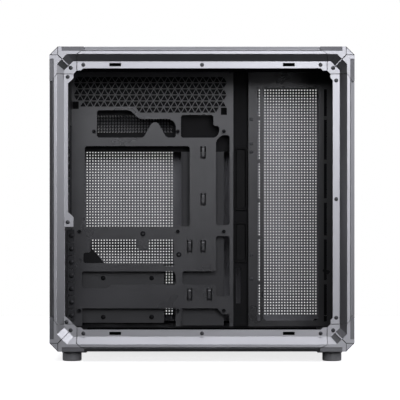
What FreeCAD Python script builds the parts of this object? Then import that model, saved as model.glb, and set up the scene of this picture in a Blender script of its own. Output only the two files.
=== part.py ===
import FreeCAD, Part
import os
from math import sqrt

# A two-chamber mid tower computer case with its left side panel off.
# X runs from the rear of the case to its front, Y from its left side to its right, Z up.
# All sizes are in millimetres. Outlines are measured from the centre of the square frames.

# Frames: two squares of aluminium rails and cast corner blocks, one on each side
frame_depth = 34.0
case_width = 285.0
outer_band = 6.6
lip_width = 4.8
bevel_width = 10.4
ledge_width = 10.8
bevel_depth = 9.0
ledge_thickness = 2.5
rail_wall = 2.5
band_start = 1.2
band_end = 4.2
groove_width = 1.2
groove_depth = 2.4
outer_corner = 12.5
recess_corner = 14.9
ledge_corner = 13.5
joint_gap = 0.6
overcut = 1.0
longest_corner = 0.45

# Corner blocks: how far they reach along the ledge and along the outer band
ledge_reach = 40.5
band_reach = 52.0
lip_slant = 6.3
facet_reach = 13.0
facet_drop = 1.0
shoulder_start = 18.5
shoulder_drop = 1.6
mitre_width = 1.2
mitre_depth = 1.4

# Ears of the ledge beside the corner blocks, and the cut-back of the rear rail
ear_height = 3.4
ear_length = 6.5
rear_cut = 4.9
slot_cut = 9.9
rear_ear_rise = 13.8
rear_ear_length = 14.5

# Catch slots for the snap-on side panels
catch_length = 17.4
catch_height = 4.5
catch_inset = 98.4
catch_margin = 5.1
catch_clearance = 0.6

# Frame screws: a line along each rail, one in each corner block and three on the rear rail
screw_margin = 5.3
screw_end_gap = 10.1
screw_corner_inset = 9.9
rear_screw_gap = 4.8
low_screw_gap = 3.8
low_screw_shift = 1.7
screw_head_radius = 3.0
screw_head_height = 1.6

# Sheet steel chassis
sheet = 1.2
wall_inset = 24.0
deck_inset = 29.0
flange = 8.0
tab_length = 14.0
tab_reach = 7.5

# Cross rails and outer covers between the two frames
cross_leg = 24.0
cross_wall = 3.0
cover_thickness = 2.0
cover_recess = 1.0
fit_gap = 0.3

# Perforation of the right panel and the covers
mesh_pitch = 13.1
mesh_bar = 4.0
mesh_margin = 18.4
mesh_rear_end = 147.0
mesh_front_gap = 6.7
panel_height = 5.0
cover_pitch = 20.0
cover_slot = 10.0
cover_margin = 14.0
cover_rib = 8.0

# Motherboard: standard hole grid, measured from the rear hole of the top row.
# The grid and the room above and below it set the height of the chassis and so the frames.
tray_depth = 180.0
board_rear = 12.2
board_drop = 93.4
board_floor_gap = 24.66
hole_spread_x = (0.0, 154.94, 227.33)
hole_spread_z = (0.0, -157.48, -281.94)
first_hole_offset = 22.86
standoff_height = 6.5
standoff_flat = 5.5

# Tray: triangle lattice, cut-outs and tie-down bridges, measured from the same hole
tray_front = 242.3
lattice_side = 11.05
lattice_bar = 1.3
lattice_top = 86.5
lattice_rear = -10.2
lattice_front = 233.0
lattice_rows = 5
lattice_short_row = (88.0, 224.3)
square_holes = ((-11.9, 35.6, 10.5, 11.8), (222.7, 26.2, 9.5, 11.5))
cutout_corner = 2.5
cpu_window = (8.1, -149.7, 165.5, 126.7)
upper_cutout = ((27.3, 33.7), (79.3, 33.7), (94.6, 19.7), (143.9, 19.7), (151.8, 11.1),
                (151.8, -9.6), (136.8, -9.6), (123.1, 14.4), (114.4, 14.4), (100.8, -9.6), (27.3, -9.6))
middle_cutout = ((159.7, 26.2), (210.9, 26.2), (210.9, 8.8), (220.2, 8.8),
                 (220.2, -2.2), (214.4, -9.8), (159.7, -9.8))
cable_slot = ((223.9, -5.7), (236.5, -5.7), (236.5, -147.5), (214.9, -147.5), (214.9, -14.7))
cable_hook = ((214.9, -164.4), (236.5, -164.4), (236.5, -260.2), (214.9, -260.2),
              (214.9, -241.6), (161.8, -241.6), (161.8, -220.3), (214.9, -220.3))
power_cutout = ((17.2, -170.4), (90.7, -170.4), (90.7, -185.6), (109.0, -185.6), (109.0, -170.4),
                (148.5, -170.4), (148.5, -212.7), (132.9, -212.7), (132.9, -207.4), (6.0, -207.4),
                (6.0, -190.8), (17.2, -190.8))
drive_cutout = ((3.7, -220.5), (147.5, -220.5), (151.5, -224.5), (151.5, -241.4),
                (49.4, -241.4), (43.4, -247.4), (3.7, -247.4))
foot_notch_rear = (4.1, 151.5)
foot_notch_front = (159.7, 236.1)
foot_notch_height = 27.9
notch_tab = (217.8, 224.3)
notch_tab_drop = 9.4
bridge_places = ((194.7, -33.2), (194.7, -107.2), (173.6, -181.1),
                 (194.7, -181.1), (173.6, -256.9), (204.6, -256.9))
bridge_length = 20.0
bridge_slot = 2.3
bridge_spacing = 6.4

# Cable channel with its two rubber grommets, between the tray and the fan bracket
channel_width = 23.8
channel_depth = 13.3
grommet_spans = ((-23.8, -125.0), (-142.0, -207.7))
grommet_side_gap = 0.5
grommet_rim = 4.0
grommet_lip = 3.6
grommet_skin = 1.2
grommet_corner = 4.0
channel_slot = (4.2, 7.3, -215.6, -271.4)

# Side fan bracket: one tall window and two columns of slots
bracket_window_left = 23.8
bracket_window_right = 110.8
bracket_window_above = 25.0
bracket_window_below = 8.6
bracket_corner = 4.0
fan_hole_spacing = 105.0
bracket_slot_width = 4.6
bracket_slot_inset = 7.4
bracket_slot_spans = ((66.8, 24.3), (18.5, -44.3), (-50.6, -105.3),
                      (-112.4, -163.9), (-170.2, -234.5), (-240.9, -299.7))

# Second chamber: drive bay panel, supply shelf, drive bracket and cable cover
bay_depth = 27.3
bay_hem = 12.0
bay_drop = 31.6
bay_overlap = 10.5
bay_mesh = (27.8, 144.8, -0.6, 25.4)
shelf_drop = 210.6
shelf_reach = 147.8
shelf_end = 86.0
gusset_rise = 30.5
gusset_foot = 54.0
gusset_top = 27.0
drive_depth = 20.0
drive_plate = (2.8, 132.8, -302.6, -216.6)
cable_cover_span = (160.3, 227.5)
cable_cover_depth = 18.0

# Rear wall: port opening, expansion slots, fan vent and supply opening
port_length = 158.75
port_width = 44.45
port_top = 9.1
port_back = 3.0
slot_count = 7
slot_pitch = 20.32
slot_first = -162.4
slot_height = 13.0
slot_length = 105.0
slot_back = 10.5
slot_cover_width = 18.42
slot_cover_length = 112.0
slot_cover_sheet = 0.9
slot_cover_tab = 10.5
fan_front = 109.5
fan_drop = 56.6
fan_vent_radius = 56.0
fan_vent_pitch = 12.0
fan_vent_bar = 4.0
fan_hole_radius = 2.2
supply_width = 80.0
supply_height = 146.0
supply_lift = 6.0
supply_gap = 5.0

# Vents of the deck sheets above and below the main chamber
deck_vent_margin = 27.0
deck_vent_width = 88.0
deck_vent_back = 83.5
deck_slots = 3
deck_slot_rib = 14.7

# Control strip in the top cover
strip_inset_x = 69.7
strip_inset_y = 28.2
strip_length = 110.0
strip_width = 20.0
strip_height = 16.0
strip_flange = 4.0
button_length = 16.0
button_width = 9.0
button_gap = 0.3
button_height = 9.0
button_proud = 0.8
button_travel = 1.5
button_place = -40.0
port_places = (-18.0, 2.0, 20.0)
port_sizes = ((13.1, 5.6), (13.1, 5.6), (9.2, 3.4))
port_depth = 9.0

# Feet
foot_height = 15.5
foot_radius = 14.5
foot_plate = 2.6
foot_plate_inner = 8.0
foot_inset_x = 32.4
foot_inset_y = 33.0

V = FreeCAD.Vector
deck_z = (board_drop - hole_spread_z[-1] + board_floor_gap) / 2
half = deck_z + deck_inset
left_face = -case_width / 2
lip_half = half - outer_band
recess_half = lip_half - lip_width
ledge_half = recess_half - bevel_width
opening_half = ledge_half - ledge_width
block_start = half - ledge_reach
band_joint = half - band_reach
ledge_back = bevel_depth + ledge_thickness
chassis_front = left_face + ledge_back
wall_x = half - wall_inset
frame_back = left_face + frame_depth
tray_y = left_face + tray_depth
board_x = board_rear - wall_x
board_z = deck_z - board_drop
tray_edge = board_x + tray_front
bracket_edge = tray_edge + channel_width
corner_slope = 2 - sqrt(2)
catch_place = half - catch_inset
catch_line = ledge_half - catch_margin
screw_line = ledge_half - screw_margin
screw_end = block_start - screw_end_gap
screw_corner = ledge_half - screw_corner_inset
rear_ear_low = board_z + slot_first + rear_ear_rise
rear_ear_high = rear_ear_low + rear_ear_length
rear_screw_places = ((-screw_line, block_start - rear_screw_gap),
                     (-screw_line, (rear_ear_low + rear_ear_high) / 2),
                     (-screw_line - low_screw_shift, low_screw_gap - block_start))
bay_bottom = board_z - bay_drop
bay_front = tray_edge + bay_overlap
shelf_level = board_z - shelf_drop
shelf_front = board_x + shelf_reach
deck_vent_centre = tray_y - deck_vent_back
cover_reach = half - cross_leg - fit_gap
cover_side = -frame_back - fit_gap
strip_x = cover_reach - strip_inset_x
strip_y = cover_side - strip_inset_y


def on_side(y):
    """Plane facing the left side: (u, v) are X and Z."""
    return lambda u, v: V(u, y, v)


def on_rear(x):
    """Plane facing the rear: (u, v) are Y and Z."""
    return lambda u, v: V(x, u, v)


def on_level(z):
    """Level plane: (u, v) are X and Y."""
    return lambda u, v: V(u, v, z)


def outline(points, place, corner_cut=0.0):
    """Closed wire through flat points, every corner cut off as far as its edges allow."""
    corners = [place(u, v) for u, v in points]
    if corner_cut == 0.0:
        return Part.makePolygon(corners + corners[:1])
    trimmed = []
    for i, corner in enumerate(corners):
        before = corners[i - 1].sub(corner)
        after = corners[(i + 1) % len(corners)].sub(corner)
        length = min(corner_cut, longest_corner * before.Length, longest_corner * after.Length)
        trimmed.append(corner.add(before.normalize().multiply(length)))
        trimmed.append(corner.add(after.normalize().multiply(length)))
    return Part.makePolygon(trimmed + trimmed[:1])


def rectangle(left, bottom, width, height):
    right = left + width
    top = bottom + height
    return [(left, bottom), (right, bottom), (right, top), (left, top)]


def slab(wires, thickness):
    """Plate from its outer wire and the wires of its openings."""
    return Part.makeFace(wires, "Part::FaceMakerBullseye").extrude(thickness)


def box(x0, x1, y0, y1, z0, z1):
    return Part.makeBox(x1 - x0, y1 - y0, z1 - z0, V(x0, y0, z0))


def flip_y(shape):
    return shape.mirror(V(0, 0, 0), V(0, 1, 0))


def flip_x(shape):
    return shape.mirror(V(0, 0, 0), V(1, 0, 0))


def flip_z(shape):
    return shape.mirror(V(0, 0, 0), V(0, 0, 1))


def save(name, shape):
    """Lift a finished piece from the frame's centre to its height above the floor."""
    placed = shape.copy()
    placed.translate(V(0, 0, foot_height + half))
    placed.exportStep("parts/" + name + ".step")


def frame_loop(size, corner, depth):
    """Square with its corners cut at 45 degrees, at a depth behind the lip of the left frame."""
    near = size - corner
    points = [(near, size), (size, near), (size, -near), (near, -size),
              (-near, -size), (-size, -near), (-size, near), (-near, size)]
    return outline(points, on_side(left_face + depth))


def frame_prism(size, corner, start, end):
    return Part.Face(frame_loop(size, corner, start)).extrude(V(0, end - start, 0))


def frame_taper(size0, corner0, start, size1, corner1, end):
    return Part.makeLoft([frame_loop(size0, corner0, start), frame_loop(size1, corner1, end)], True, True)


def frame_opening(with_rear_relief):
    """Inner edge of the ledge, with its ears and, on the left frame, the relief for the rear wall."""
    ear = opening_half - ear_height
    ear_start = block_start - ear_length
    slope_end = ear_start - ear_height
    top = [(-block_start, ear), (-ear_start, ear), (-slope_end, opening_half)]
    points = top + [(-x, z) for x, z in reversed(top)]
    front = [(ear, block_start), (ear, ear_start), (opening_half, slope_end)]
    points += front + [(x, -z) for x, z in reversed(front)]
    points += [(-x, -z) for x, z in top] + [(x, -z) for x, z in reversed(top)]
    if not with_rear_relief:
        return points + [(-x, -z) for x, z in front] + [(-x, z) for x, z in reversed(front)]
    rear = opening_half + rear_cut
    slots = opening_half + slot_cut
    return points + [(-slots, slots - block_start - ear), (-slots, rear_ear_low), (-ear, rear_ear_low),
                     (-ear, rear_ear_high), (-rear, rear_ear_high + rear - ear),
                     (-rear, ear_start - rear + ear), (-ear, ear_start), (-ear, block_start)]


def block_region(grow):
    """Area of the upper front corner block, seen from the side."""
    start = block_start - grow
    joint = band_joint - grow
    out = half + overcut
    arm = [(start, recess_half), (start - lip_slant, lip_half), (joint, lip_half + lip_slant / 3),
           (joint, out)]
    return [(start, start)] + arm + [(out, out)] + [(z, x) for x, z in reversed(arm)]


def through_frame(points):
    face = Part.Face(outline(points, on_side(left_face - overcut)))
    return face.extrude(V(0, frame_depth + 2 * overcut, 0))


def four_ways(shape):
    return [shape, flip_x(shape), flip_z(shape), flip_x(flip_z(shape))]


def frame_recess(body, with_rear_relief):
    """Cut the panel recess, the back and the inner opening out of a frame."""
    wall_half = half - rail_wall
    wall_corner = outer_corner - rail_wall * corner_slope
    body = body.cut(frame_taper(recess_half, recess_corner, 0.0, ledge_half, ledge_corner, bevel_depth))
    body = body.cut(frame_prism(wall_half, wall_corner, ledge_back, frame_depth))
    body = body.cut(through_frame(frame_opening(with_rear_relief)))
    slots = catch_boxes(0.0, chassis_front - ledge_thickness - overcut, chassis_front + overcut)
    return body.cut(Part.makeCompound(slots))


def rail_frame(with_rear_relief):
    """Frame of the rails' section: lip, groove and a band that falls to the outer face."""
    lip_corner = outer_corner - outer_band * corner_slope
    groove_half = lip_half + groove_width
    groove_corner = outer_corner - (outer_band - groove_width) * corner_slope
    body = frame_prism(half, outer_corner, band_end, frame_depth)
    body = body.fuse(frame_taper(groove_half, groove_corner, band_start, half, outer_corner, band_end))
    body = body.fuse(frame_prism(lip_half, lip_corner, 0.0, band_end)).removeSplitter()
    groove = frame_prism(groove_half, groove_corner, 0.0, groove_depth)
    body = body.cut(groove.cut(frame_prism(lip_half, lip_corner, 0.0, groove_depth)))
    return frame_recess(body, with_rear_relief)


def corner_block():
    """Upper front corner block: flush with the lip, with sunk shoulders, a facet and a mitre groove."""
    body = frame_recess(frame_prism(half, outer_corner, 0.0, frame_depth), False)
    body = body.common(through_frame(block_region(0.0)))
    inner = half - facet_reach
    beyond = half + overcut
    facet = [(inner, inner), (inner, beyond), (beyond, inner)]
    shoulder = box(band_joint - overcut, half - shoulder_start, left_face, left_face + shoulder_drop,
                   lip_half, half)
    mitre = box(recess_half, sqrt(2) * inner + overcut, left_face, left_face + mitre_depth,
                -mitre_width / 2, mitre_width / 2)
    mitre.rotate(V(0, 0, 0), V(0, 1, 0), -45)
    sunk = [shoulder, shoulder.mirror(V(0, 0, 0), V(1, 0, -1)), mitre]
    sunk.append(Part.Face(outline(facet, on_side(left_face))).extrude(V(0, facet_drop, 0)))
    for tool in sunk:
        body = body.cut(tool)
    return body.removeSplitter().Solids[0]


def screw_places():
    along = (-screw_end, 0.0, screw_end)
    places = [(x, side * screw_line) for x in along for side in (-1, 1)]
    places += [(screw_line, z) for z in along]
    places += [(sx * screw_corner, sz * screw_corner) for sx in (-1, 1) for sz in (-1, 1)]
    return places + list(rear_screw_places)


def catch_boxes(spare, y0, y1):
    width = catch_length + 2 * spare
    height = catch_height + 2 * spare
    boxes = []
    for x in (-catch_place, catch_place):
        for z in (-catch_line, catch_line):
            boxes.append(box(x - width / 2, x + width / 2, y0, y1, z - height / 2, z + height / 2))
    return boxes


def make_frame(side, with_rear_relief):
    """Four rails and four corner blocks of one side, as (name, shape) pairs."""
    turn = flip_y if side == "right" else (lambda shape: shape)
    gaps = Part.makeCompound(four_ways(through_frame(block_region(joint_gap))))
    pieces = []
    for rail in rail_frame(with_rear_relief).cut(gaps).Solids:
        centre = rail.CenterOfMass
        if abs(centre.z) > abs(centre.x):
            where = "top" if centre.z > 0 else "bottom"
        else:
            where = "front" if centre.x > 0 else "rear"
        pieces.append((side + "_" + where + "_rail", turn(rail)))
    corners = ("top_front", "top_rear", "bottom_front", "bottom_rear")
    for where, block in zip(corners, four_ways(corner_block())):
        pieces.append((side + "_" + where + "_corner", turn(block)))
    return pieces


def frame_screws():
    """Heads of the frame screws on the ledge of the left frame."""
    ledge_y = left_face + bevel_depth
    corner = screw_head_radius / 2
    flat = screw_head_radius * sqrt(3) / 2
    ring = [(2 * corner, 0.0), (corner, flat), (-corner, flat),
            (-2 * corner, 0.0), (-corner, -flat), (corner, -flat)]
    heads = []
    for x, z in screw_places():
        face = Part.Face(outline([(x + a, z + b) for a, b in ring], on_side(ledge_y - screw_head_height)))
        heads.append(face.extrude(V(0, screw_head_height, 0)))
    return Part.makeCompound(heads)


def catch_clearances():
    """Slots of the chassis flanges behind the catch slots of both frames."""
    catches = catch_boxes(0.0, chassis_front - overcut, chassis_front + sheet + overcut)
    return Part.makeCompound(catches + [flip_y(catch) for catch in catches])


def folded_section(place):
    """Section of a chassis sheet with a flange folded outwards at each end."""
    front = chassis_front
    back = -chassis_front
    points = [(front, flange), (front, 0.0), (back, 0.0), (back, flange), (back - sheet, flange),
              (back - sheet, sheet), (front + sheet, sheet), (front + sheet, flange)]
    return Part.Face(outline(points, place))


def deck_sheet():
    """Ceiling sheet with a fan window and two rows of fan slots over the main chamber."""
    reach = wall_x + sheet
    section = folded_section(lambda y, out: V(-reach, y, deck_z + out))
    body = section.extrude(V(2 * reach, 0, 0))
    rear = deck_vent_margin - wall_x
    front = wall_x - deck_vent_margin
    low = deck_z - overcut
    high = deck_z + sheet + overcut
    vent_half = deck_vent_width / 2
    tools = [box(rear, front, deck_vent_centre - vent_half, deck_vent_centre + vent_half, low, high)]
    pitch = (front - rear) / deck_slots
    for row in (-1, 1):
        y = deck_vent_centre + row * fan_hole_spacing / 2
        for i in range(deck_slots):
            x = rear + pitch * (i + 0.5)
            tools.append(box(x - (pitch - deck_slot_rib) / 2, x + (pitch - deck_slot_rib) / 2,
                             y - bracket_slot_width / 2, y + bracket_slot_width / 2, low, high))
    return body.cut(Part.makeCompound(tools))


def upright_wall(side, left_tabs):
    """Front or rear wall of the chassis, with tabs behind the frame screws."""
    section = folded_section(lambda y, out: V(side * (wall_x + out), y, -deck_z))
    body = section.extrude(V(0, 0, 2 * deck_z))
    inner = wall_x - tab_reach
    low_x, high_x = sorted((side * inner, side * wall_x))
    for z in left_tabs:
        body = body.fuse(box(low_x, high_x, chassis_front, chassis_front + sheet,
                             z - tab_length / 2, z + tab_length / 2))
    return body.removeSplitter()


def rear_openings():
    """Cutters of the rear wall: ports, expansion slots, fan vent and power supply."""
    x0 = -wall_x - sheet - overcut
    x1 = -wall_x + overcut
    port_y = tray_y - port_back
    port_z = board_z + port_top
    tools = [box(x0, x1, port_y - port_width, port_y, port_z - port_length, port_z)]
    for i in range(slot_count):
        z = board_z + slot_first - i * slot_pitch
        tools.append(box(x0, x1, tray_y - slot_back - slot_length, tray_y - slot_back,
                         z - slot_height / 2, z + slot_height / 2))
    centre_y = tray_y - fan_front
    centre_z = board_z - fan_drop
    rows = int(fan_vent_radius / fan_vent_pitch)
    for i in range(-rows, rows + 1):
        z = centre_z + i * fan_vent_pitch
        reach = sqrt(fan_vent_radius ** 2 - (i * fan_vent_pitch) ** 2)
        high = (fan_vent_pitch - fan_vent_bar) / 2
        tools.append(box(x0, x1, centre_y - reach, centre_y + reach, z - high, z + high))
    for sy in (-1, 1):
        for sz in (-1, 1):
            hole = V(x0, centre_y + sy * fan_hole_spacing / 2, centre_z + sz * fan_hole_spacing / 2)
            tools.append(Part.makeCylinder(fan_hole_radius, x1 - x0, hole, V(1, 0, 0)))
    supply_y = tray_y + sheet + supply_gap
    supply_z = shelf_level + supply_lift
    tools.append(box(x0, x1, supply_y, supply_y + supply_width, supply_z, supply_z + supply_height))
    return Part.makeCompound(tools)


def slot_cover(index):
    """Blanking strip of one expansion slot, with its fixing tab folded into the case."""
    z = board_z + slot_first - index * slot_pitch
    back = tray_y - slot_back + (slot_cover_length - slot_length) / 2
    front = back - slot_cover_length
    section = [(-wall_x, back), (-wall_x, front), (-wall_x + slot_cover_tab, front),
               (-wall_x + slot_cover_tab, front + slot_cover_sheet),
               (-wall_x + slot_cover_sheet, front + slot_cover_sheet), (-wall_x + slot_cover_sheet, back)]
    face = Part.Face(outline(section, on_level(z - slot_cover_width / 2)))
    return face.extrude(V(0, 0, slot_cover_width))


def on_board(points):
    return [(board_x + u, board_z + v) for u, v in points]


def lattice_holes(place):
    """Rows of triangles, point up and point down in turn, with bars of even width between them."""
    rise = lattice_side * sqrt(3) / 2
    inset = lattice_bar / 2
    wires = []
    for row in range(lattice_rows + 1):
        top = lattice_top - row * rise
        if row < lattice_rows - 1:
            start, end = lattice_rear, lattice_front
        elif row == lattice_rows - 1:
            start, end = square_holes[0][0] + square_holes[0][2] + lattice_bar, lattice_front
        else:
            start, end = lattice_short_row
        count = int((end - start) / (lattice_side / 2)) - 1
        for i in range(count):
            left = start + i * lattice_side / 2
            up = (i + row) % 2 == 0
            base = top - rise + inset if up else top - inset
            tip = top - 2 * inset if up else top - rise + 2 * inset
            side = inset * sqrt(3)
            right = left + lattice_side
            points = [(left + side, base), (right - side, base), (left + lattice_side / 2, tip)]
            wires.append(outline(on_board(points), place))
    return wires


def motherboard_tray():
    place = on_side(tray_y)
    left_a, right_a = foot_notch_rear
    left_b, right_b = foot_notch_front
    tab_left, tab_right = notch_tab
    floor = -deck_z - board_z
    notch_top = floor + foot_notch_height
    tab_low = notch_top - notch_tab_drop
    edge = [(-board_rear, deck_z - board_z), (tray_front, deck_z - board_z), (tray_front, floor),
            (right_b, floor), (right_b, tab_low), (tab_right, tab_low), (tab_left, notch_top),
            (left_b, notch_top), (left_b, floor), (right_a, floor), (right_a, notch_top),
            (left_a, notch_top), (left_a, floor), (-board_rear, floor)]
    wires = [outline(on_board(edge), place)]
    wires += lattice_holes(place)
    for hole in square_holes:
        wires.append(outline(on_board(rectangle(*hole)), place))
    wires.append(outline(on_board(rectangle(*cpu_window)), place, cutout_corner))
    for shape in (upper_cutout, middle_cutout, cable_slot, cable_hook, power_cutout, drive_cutout):
        wires.append(outline(on_board(shape), place, cutout_corner))
    for u, v in bridge_places:
        for side in (-1, 1):
            left = u + side * bridge_spacing / 2 - bridge_slot / 2
            slot = rectangle(left, v - bridge_length / 2, bridge_slot, bridge_length)
            wires.append(outline(on_board(slot), place))
    return slab(wires, V(0, sheet, 0))


def standoffs():
    """Hexagonal spacers on the tray, under the board's screws."""
    posts = []
    corner = standoff_flat / sqrt(3)
    hexagon = [(corner, 0.0), (corner / 2, standoff_flat / 2), (-corner / 2, standoff_flat / 2),
               (-corner, 0.0), (-corner / 2, -standoff_flat / 2), (corner / 2, -standoff_flat / 2)]
    top = tray_y - standoff_height
    for v in hole_spread_z:
        for u in hole_spread_x:
            shift = first_hole_offset if u == hole_spread_x[0] and v == hole_spread_z[0] else 0.0
            x = board_x + u + shift
            z = board_z + v
            face = Part.Face(outline([(x + a, z + b) for a, b in hexagon], on_side(top)))
            posts.append(face.extrude(V(0, standoff_height, 0)))
    return Part.makeCompound(posts)


def cable_channel():
    """Recessed trough behind the gap between tray and fan bracket."""
    front = tray_y + sheet
    back = front + channel_depth
    left = tray_edge - sheet
    right = bracket_edge + sheet
    section = [(left, front), (tray_edge, front), (tray_edge, back - sheet), (bracket_edge, back - sheet),
               (bracket_edge, front), (right, front), (right, back), (left, back)]
    body = Part.Face(outline(section, on_level(-deck_z))).extrude(V(0, 0, 2 * deck_z))
    tools = []
    side = grommet_side_gap + grommet_rim
    for top, bottom in grommet_spans:
        tools.append(box(tray_edge + side, bracket_edge - side, back - sheet - overcut, back + overcut,
                         board_z + bottom + grommet_rim, board_z + top - grommet_rim))
    offset, width, top, bottom = channel_slot
    slot_left = tray_edge + offset
    tools.append(box(slot_left, slot_left + width, back - sheet - overcut, back + overcut,
                     board_z + bottom, board_z + top))
    return body.cut(Part.makeCompound(tools))


def grommet(span):
    """Rubber grommet with a raised rim and a thin skin, pressed against the floor of the channel."""
    top = board_z + span[0]
    bottom = board_z + span[1]
    floor = tray_y + channel_depth
    left = tray_edge + grommet_side_gap
    width = channel_width - 2 * grommet_side_gap
    place = on_side(floor - grommet_lip)
    rim = outline(rectangle(left, bottom, width, top - bottom), place, grommet_corner)
    body = Part.Face(rim).extrude(V(0, grommet_lip, 0))
    inner = rectangle(left + grommet_rim, bottom + grommet_rim, width - 2 * grommet_rim,
                      top - bottom - 2 * grommet_rim)
    well = Part.Face(outline(inner, place, grommet_corner / 2)).extrude(V(0, grommet_lip - grommet_skin, 0))
    return body.cut(well)


def side_fan_bracket():
    place = on_side(tray_y)
    right = wall_x - fit_gap
    wires = [outline(rectangle(bracket_edge, -deck_z, right - bracket_edge, 2 * deck_z), place)]
    window_left = bracket_edge + bracket_window_left
    window_right = bracket_edge + bracket_window_right
    window_bottom = bracket_window_below - deck_z
    window_top = deck_z - bracket_window_above
    window = rectangle(window_left, window_bottom, window_right - window_left, window_top - window_bottom)
    wires.append(outline(window, place, bracket_corner))
    for x in (window_left - bracket_slot_inset, window_left - bracket_slot_inset + fan_hole_spacing):
        for top, bottom in bracket_slot_spans:
            slot = rectangle(x - bracket_slot_width / 2, board_z + bottom, bracket_slot_width, top - bottom)
            wires.append(outline(slot, place))
    return slab(wires, V(0, sheet, 0))


def mesh_slots(left, right, bottom, top, place):
    """Perforation as upright slots with even bars between them."""
    count = int((right - left) / mesh_pitch)
    start = (left + right - count * mesh_pitch + mesh_bar) / 2
    gap = mesh_pitch - mesh_bar
    slots = [rectangle(start + i * mesh_pitch, bottom, gap, top - bottom) for i in range(count)]
    return [outline(slot, place) for slot in slots]


def right_side_panel():
    """Folded pan that seats on the ledge of the right frame, perforated behind both chambers."""
    size = ledge_half - 2 * fit_gap
    seat = -left_face - bevel_depth + fit_gap
    face_y = seat + panel_height - sheet
    rim = frame_prism(size, ledge_corner, 0.0, panel_height - sheet)
    rim = rim.cut(frame_prism(size - sheet, ledge_corner - sheet * corner_slope, 0.0, panel_height - sheet))
    rim.translate(V(0, seat - left_face, 0))
    place = on_side(face_y)
    edge = frame_loop(size, ledge_corner, face_y - left_face)
    reach = ledge_half - mesh_margin
    wires = [edge]
    wires += mesh_slots(-reach, board_x + mesh_rear_end, -reach, reach, place)
    wires += mesh_slots(bracket_edge + mesh_front_gap, reach, -reach, reach, place)
    return slab(wires, V(0, sheet, 0)).fuse(rim).removeSplitter()


def panel_catches():
    """Spring tongues on the back of the right panel that snap into the catch slots."""
    inner = -left_face - bevel_depth - ledge_thickness + fit_gap
    outer = -left_face - bevel_depth + fit_gap + panel_height - sheet
    return Part.makeCompound(catch_boxes(-catch_clearance, inner, outer))


def drive_bay_panel():
    """Perforated partition of the second chamber, hung from the ceiling and hemmed at its lower edge."""
    plane = tray_y + sheet + bay_depth
    left = -wall_x + fit_gap
    section = [(plane, bay_bottom), (plane + bay_hem, bay_bottom), (plane + bay_hem, bay_bottom + sheet),
               (plane + sheet, bay_bottom + sheet), (plane + sheet, deck_z), (plane, deck_z)]
    body = Part.Face(outline(section, on_rear(left))).extrude(V(bay_front - left, 0, 0))
    (rear, low), (ahead, high) = on_board([bay_mesh[0::2], bay_mesh[1::2]])
    tools = []
    for wire in mesh_slots(rear, ahead, low, high, on_side(plane - overcut)):
        tools.append(Part.Face(wire).extrude(V(0, sheet + 2 * overcut, 0)))
    return body.cut(Part.makeCompound(tools))


def supply_shelf():
    """Shelf under the power supply, with a gusset against the tray at the rear wall."""
    front = tray_y + sheet
    left = -wall_x + fit_gap
    body = box(left, shelf_front, front, front + shelf_end, shelf_level - sheet, shelf_level)
    gusset = [(left, shelf_level), (left + gusset_foot, shelf_level),
              (left + gusset_top, shelf_level + gusset_rise), (left, shelf_level + gusset_rise)]
    wedge = Part.Face(outline(gusset, on_side(front))).extrude(V(0, sheet, 0))
    return body.fuse(wedge).removeSplitter()


def drive_bracket():
    """Upright plate for a small drive, hung on the tray by a folded upper edge."""
    front = tray_y + sheet
    (left, low), (right, high) = on_board([drive_plate[0::2], drive_plate[1::2]])
    plane = front + drive_depth
    section = [(front, high), (front, high - sheet), (plane, high - sheet), (plane, low),
               (plane + sheet, low), (plane + sheet, high)]
    return Part.Face(outline(section, on_rear(left))).extrude(V(right - left, 0, 0))


def cable_cover():
    """Upright cover strip behind the tray that hides the cable runs."""
    front = tray_y + sheet
    left = board_x + cable_cover_span[0]
    right = board_x + cable_cover_span[1]
    plane = front + cable_cover_depth
    section = [(left, front), (left + sheet, front), (left + sheet, plane), (right, plane),
               (right, plane + sheet), (left, plane + sheet)]
    return Part.Face(outline(section, on_level(-deck_z))).extrude(V(0, 0, deck_z + bay_bottom))


def cross_rail():
    """Angle section along the upper front edge, between the corner blocks of both frames."""
    near = half - cross_leg
    inner = half - cross_wall
    wall_corner = outer_corner - cross_wall * corner_slope
    section = [(near, half), (half - outer_corner, half), (half, half - outer_corner), (half, near),
               (inner, near), (inner, inner - wall_corner), (inner - wall_corner, inner), (near, inner)]
    start = frame_back + fit_gap
    return Part.Face(outline(section, on_side(start))).extrude(V(0, -2 * start, 0))


def slotted_cover(bottom, with_strip):
    """Cover sheet with lengthwise slots, and a cut-out for the control strip in the top one."""
    place = on_level(bottom)
    reach = cover_reach
    side = cover_side
    wires = [outline(rectangle(-reach, -side, 2 * reach, 2 * side), place)]
    low_x = strip_x - strip_length / 2 - fit_gap
    low_y = strip_y - strip_width / 2 - fit_gap
    if with_strip:
        cut = rectangle(low_x, low_y, strip_length + 2 * fit_gap, strip_width + 2 * fit_gap)
        wires.append(outline(cut, place))
    rows = int((2 * side - 2 * cover_margin) / cover_pitch)
    start = -rows * cover_pitch / 2
    for i in range(rows):
        y = start + i * cover_pitch + (cover_pitch - cover_slot) / 2
        beside_strip = y + cover_slot > low_y - cover_rib and y < low_y + strip_width + cover_rib
        front_end = low_x - cover_rib if with_strip and beside_strip else reach - cover_margin
        rear_end = cover_margin - reach
        wires.append(outline(rectangle(rear_end, y, front_end - rear_end, cover_slot), place))
    return slab(wires, V(0, 0, cover_thickness))


def front_cover():
    x = half - cover_recess - cover_thickness
    return box(x, x + cover_thickness, -cover_side, cover_side, -cover_reach, cover_reach)


def button_block(spare, low, high):
    """Block of the power button, or of its well with a gap all round."""
    x = strip_x + button_place
    return box(x - button_length / 2 - spare, x + button_length / 2 + spare,
               strip_y - button_width / 2 - spare, strip_y + button_width / 2 + spare, low, high)


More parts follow.
